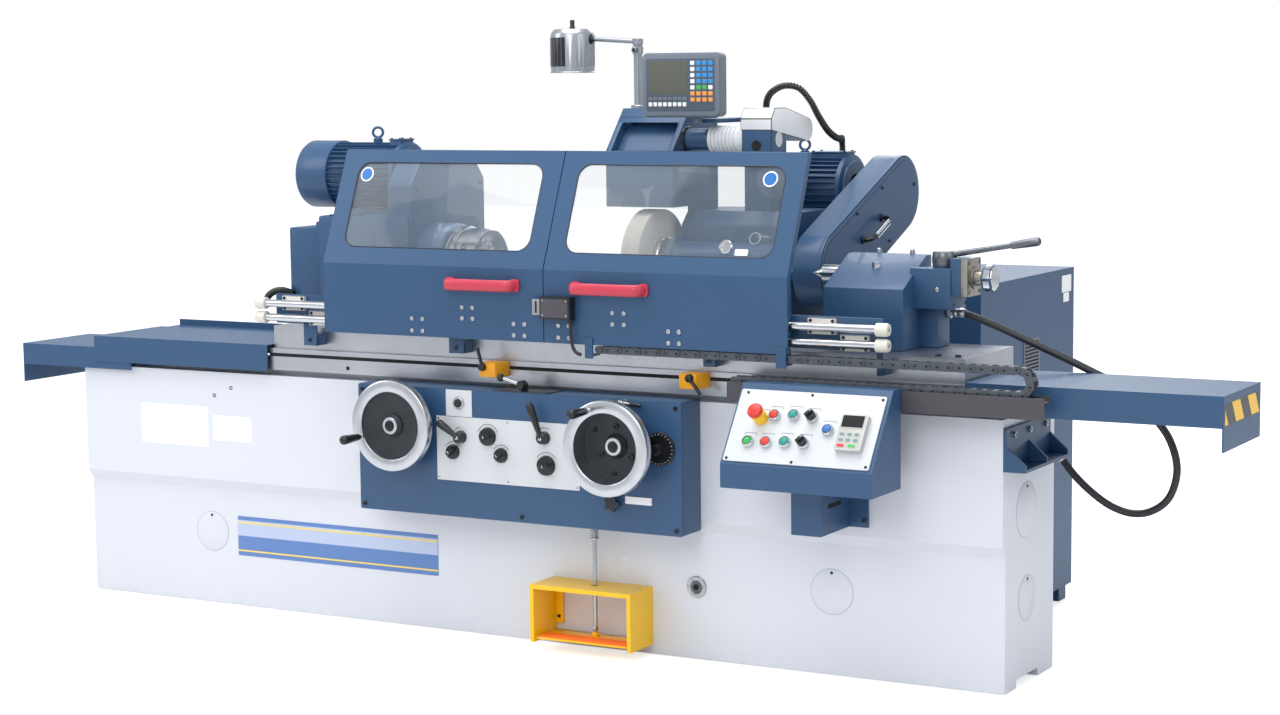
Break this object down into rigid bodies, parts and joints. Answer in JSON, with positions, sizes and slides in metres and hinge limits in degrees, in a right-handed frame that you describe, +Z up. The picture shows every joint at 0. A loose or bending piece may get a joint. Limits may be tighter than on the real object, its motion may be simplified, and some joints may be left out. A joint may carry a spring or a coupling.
{
  "type": "cylindrical grinding machine",
  "caption": "Universal cylindrical grinder: long bed, sliding table with workhead and tailstock, sliding splash doors, rear wheelhead with belt guard and swing-down internal spindle.",
  "frame": {"origin": "on the floor under the middle of the bed's length and the middle of the front bed's depth", "axes": "+X along the bed to the operator's right, +Y to the back of the machine, +Z up"},
  "size_m": [3.857, 1.5766, 1.759],
  "materials": {
    "white_paint": "semi-gloss",
    "blue_paint": "semi-gloss",
    "ground_steel": "ground",
    "bright_steel": "polished",
    "polished_aluminium": "polished",
    "cast_grey": "machined",
    "black_plastic": "gloss",
    "black_rubber": "matte",
    "grey_plastic": "matte",
    "panel_white": "satin",
    "yellow_paint": "semi-gloss",
    "orange_paint": "semi-gloss",
    "amber_paint": "semi-gloss",
    "red_plastic": "gloss",
    "signal_red": "gloss",
    "teal_plastic": "gloss",
    "blue_plastic": "gloss",
    "tray_steel": "satin",
    "clear_pane": "clear",
    "abrasive": "gritty",
    "pale_casting": "satin"
  },
  "bodies": {
    "bed": {"bed_casting": "white_paint", "end_bracket": "blue_paint", "apron_panel": "panel_white", "apron_housing": "blue_paint", "pedal_guard": "yellow_paint", "console_panel": "panel_white", "console_housing": "blue_paint", "cabinet_shell": "blue_paint", "hydraulic_hose": "black_rubber"},
    "table": {"lower_table": "ground_steel", "upper_table": "ground_steel", "right_cover": "blue_paint", "left_cover": "blue_paint", "guard_rail": "bright_steel", "cable_tray": "tray_steel", "cable_chain": "grey_plastic", "headstock_body": "blue_paint", "headstock_motor": "blue_paint", "tailstock_body": "blue_paint"},
    "outer_cover": {"outer_cover_left": "blue_paint"},
    "left_door_body": {"left_door": "blue_paint", "left_window": "clear_pane", "left_door_handle": "red_plastic"},
    "right_door_body": {"right_door": "blue_paint", "right_window": "clear_pane", "right_door_handle": "red_plastic", "interlock_switch": "black_plastic"},
    "wheelhead": {"wheelhead_body": "blue_paint", "belt_guard": "blue_paint", "wheel_motor": "blue_paint"},
    "table_handwheel_body": {"table_handwheel": "polished_aluminium"},
    "cross_handwheel_body": {"cross_handwheel": "polished_aluminium"},
    "apron_button_body": {"apron_push_button": "black_plastic"},
    "apron_lever_left_body": {"apron_lever_left": "black_plastic"},
    "apron_lever_right_body": {"apron_lever_right": "black_plastic"},
    "speed_knob_body": {"speed_knob": "black_plastic"},
    "throttle_knob_left_body": {"throttle_knob_left": "black_plastic"},
    "throttle_knob_right_body": {"throttle_knob_right": "black_plastic"},
    "selector_knob_body": {"selector_knob": "black_plastic"},
    "reversing_lever_body": {"reversing_lever": "black_plastic"},
    "estop_button_body": {"estop_button": "signal_red"},
    "red_button_upper_body": {"red_button_upper": "signal_red"},
    "teal_button_upper_body": {"teal_button_upper": "teal_plastic"},
    "blue_button_body": {"blue_button": "blue_plastic"},
    "red_button_lower_body": {"red_button_lower": "signal_red"},
    "teal_button_lower_body": {"teal_button_lower": "teal_plastic"},
    "selector_upper_body": {"selector_upper": "black_plastic"},
    "selector_lower_body": {"selector_lower": "black_plastic"},
    "pedal_body": {"foot_pedal": "orange_paint"},
    "pedal_rod_body": {"pedal_rod": "bright_steel"},
    "cabinet_door_body": {"cabinet_door": "blue_paint"},
    "chuck_body": {"chuck": "bright_steel"},
    "quill_body": {"tailstock_quill": "bright_steel"},
    "retract_lever_body": {"tailstock_lever": "cast_grey"},
    "dog_left_body": {"dog_left": "amber_paint"},
    "dog_right_body": {"dog_right": "amber_paint"},
    "wheel_spindle_body": {"grinding_wheel": "abrasive"},
    "internal_arm_body": {"internal_grinding_arm": "pale_casting"},
    "readout_body": {"dro_display": "grey_plastic"},
    "lamp_body": {"work_lamp": "cast_grey"}
  },
  "joints": [
    {"name": "table_slide", "type": "slide", "parent": "bed", "child": "table", "axis": [1, 0, 0], "range_m": [-0.55, 0.2], "deforming": ["hydraulic_hose"]},
    {"name": "outer_cover_slide", "type": "slide", "parent": "bed", "child": "outer_cover", "axis": [1, 0, 0], "range_m": [-0.275, 0.1]},
    {"name": "wheelhead_slide", "type": "slide", "parent": "bed", "child": "wheelhead", "axis": [0, -1, 0], "range_m": [-0.1, 0.08]},
    {"name": "table_handwheel_turn", "type": "hinge", "parent": "bed", "child": "table_handwheel_body", "pos_m": [-0.241, -0.35, 0.62], "axis": [0, -1, 0], "continuous": true},
    {"name": "cross_handwheel_turn", "type": "hinge", "parent": "bed", "child": "cross_handwheel_body", "pos_m": [0.498, -0.35, 0.61], "axis": [0, -1, 0], "continuous": true},
    {"name": "apron_button_press", "type": "slide", "parent": "bed", "child": "apron_button_body", "axis": [0, 1, 0], "range_m": [0, 0.004], "stiffness_N_per_m": 400},
    {"name": "apron_lever_left_turn", "type": "hinge", "parent": "bed", "child": "apron_lever_left_body", "pos_m": [-0.045, -0.33, 0.592], "axis": [0, -1, 0], "range_deg": [-35, 35]},
    {"name": "apron_lever_right_turn", "type": "hinge", "parent": "bed", "child": "apron_lever_right_body", "pos_m": [0.229, -0.33, 0.606], "axis": [0, -1, 0], "range_deg": [-40, 15]},
    {"name": "speed_knob_turn", "type": "hinge", "parent": "bed", "child": "speed_knob_body", "pos_m": [0.044, -0.33, 0.598], "axis": [0, -1, 0], "range_deg": [-120, 120]},
    {"name": "throttle_knob_left_turn", "type": "hinge", "parent": "bed", "child": "throttle_knob_left_body", "pos_m": [-0.073, -0.33, 0.548], "axis": [0, -1, 0], "range_deg": [-135, 135]},
    {"name": "throttle_knob_right_turn", "type": "hinge", "parent": "bed", "child": "throttle_knob_right_body", "pos_m": [0.087, -0.33, 0.548], "axis": [0, -1, 0], "range_deg": [-135, 135]},
    {"name": "selector_knob_turn", "type": "hinge", "parent": "bed", "child": "selector_knob_body", "pos_m": [0.234, -0.33, 0.529], "axis": [0, -1, 0], "range_deg": [-45, 45]},
    {"name": "reversing_lever_turn", "type": "hinge", "parent": "bed", "child": "reversing_lever_body", "pos_m": [0.144, -0.292, 0.745], "axis": [0, -1, 0], "range_deg": [-18, 18]},
    {"name": "estop_button_press", "type": "slide", "parent": "bed", "child": "estop_button_body", "axis": [0, 0.8208, -0.5712], "range_m": [0, 0.006], "stiffness_N_per_m": 500},
    {"name": "red_button_upper_press", "type": "slide", "parent": "bed", "child": "red_button_upper_body", "axis": [0, 0.8208, -0.5712], "range_m": [0, 0.004], "stiffness_N_per_m": 500},
    {"name": "teal_button_upper_press", "type": "slide", "parent": "bed", "child": "teal_button_upper_body", "axis": [0, 0.8208, -0.5712], "range_m": [0, 0.004], "stiffness_N_per_m": 500},
    {"name": "blue_button_press", "type": "slide", "parent": "bed", "child": "blue_button_body", "axis": [0, 0.8208, -0.5712], "range_m": [0, 0.004], "stiffness_N_per_m": 500},
    {"name": "red_button_lower_press", "type": "slide", "parent": "bed", "child": "red_button_lower_body", "axis": [0, 0.8208, -0.5712], "range_m": [0, 0.004], "stiffness_N_per_m": 500},
    {"name": "teal_button_lower_press", "type": "slide", "parent": "bed", "child": "teal_button_lower_body", "axis": [0, 0.8208, -0.5712], "range_m": [0, 0.004], "stiffness_N_per_m": 500},
    {"name": "selector_upper_turn", "type": "hinge", "parent": "bed", "child": "selector_upper_body", "pos_m": [1.092, -0.40832, 0.72038], "axis": [0, -0.8208, 0.5712], "range_deg": [-45, 45]},
    {"name": "selector_lower_turn", "type": "hinge", "parent": "bed", "child": "selector_lower_body", "pos_m": [1.087, -0.45116, 0.65882], "axis": [0, -0.8208, 0.5712], "range_deg": [-45, 45]},
    {"name": "pedal_press", "type": "hinge", "parent": "bed", "child": "pedal_body", "pos_m": [0.33, -0.1983, 0.04], "axis": [1, 0, 0], "range_deg": [0, 14], "stiffness_Nm_per_rad": 60, "springref_deg": -8.59},
    {"name": "pedal_rod_slide", "type": "slide", "parent": "bed", "child": "pedal_rod_body", "axis": [0, 0, -1], "range_m": [0, 0.0098]},
    {"name": "cabinet_door_hinge", "type": "hinge", "parent": "bed", "child": "cabinet_door_body", "pos_m": [1.27, 1.031, 0.53], "axis": [0, 0, 1], "range_deg": [0, 110]},
    {"name": "chuck_spin", "type": "hinge", "parent": "table", "child": "chuck_body", "pos_m": [-0.18, 0.02, 1.0563], "axis": [1, 0, 0], "continuous": true},
    {"name": "quill_slide", "type": "slide", "parent": "table", "child": "quill_body", "axis": [1, 0, 0], "range_m": [0, 0.0315]},
    {"name": "retract_lever_turn", "type": "hinge", "parent": "table", "child": "retract_lever_body", "pos_m": [1.272, 0.02, 1.1], "axis": [0, 0, -1], "range_deg": [0, 60]},
    {"name": "dog_left_slide", "type": "slide", "parent": "table", "child": "dog_left_body", "axis": [1, 0, 0], "range_m": [-0.3, 0.12]},
    {"name": "dog_right_slide", "type": "slide", "parent": "table", "child": "dog_right_body", "axis": [1, 0, 0], "range_m": [-0.25, 0.08]},
    {"name": "left_door_slide", "type": "slide", "parent": "table", "child": "left_door_body", "axis": [1, 0, 0], "range_m": [-0.28, 0]},
    {"name": "right_door_slide", "type": "slide", "parent": "table", "child": "right_door_body", "axis": [1, 0, 0], "range_m": [0, 0.43], "deforming": ["cable_chain"]},
    {"name": "wheel_spin", "type": "hinge", "parent": "wheelhead", "child": "wheel_spindle_body", "pos_m": [0.26, 0.262, 1.0563], "axis": [1, 0, 0], "continuous": true},
    {"name": "internal_arm_swing", "type": "hinge", "parent": "wheelhead", "child": "internal_arm_body", "pos_m": [0.65, 0.385, 1.436], "axis": [1, 0, 0], "range_deg": [0, 45]},
    {"name": "readout_turn", "type": "hinge", "parent": "wheelhead", "child": "readout_body", "pos_m": [0.478, 0.1407, 1.47], "axis": [0, 0, 1], "range_deg": [-10, 10]},
    {"name": "lamp_turn", "type": "hinge", "parent": "wheelhead", "child": "lamp_body", "pos_m": [0.179, 0.322, 1.6], "axis": [0, 0, 1], "range_deg": [-60, 60]}
  ],
  "couplings": [
    {"joint": "outer_cover_slide", "follows": "table_slide", "ratio": 0.5},
    {"joint": "pedal_rod_slide", "follows": "pedal_press", "m_per_rad": 0.04},
    {"joint": "quill_slide", "follows": "retract_lever_turn", "m_per_rad": 0.03}
  ]
}
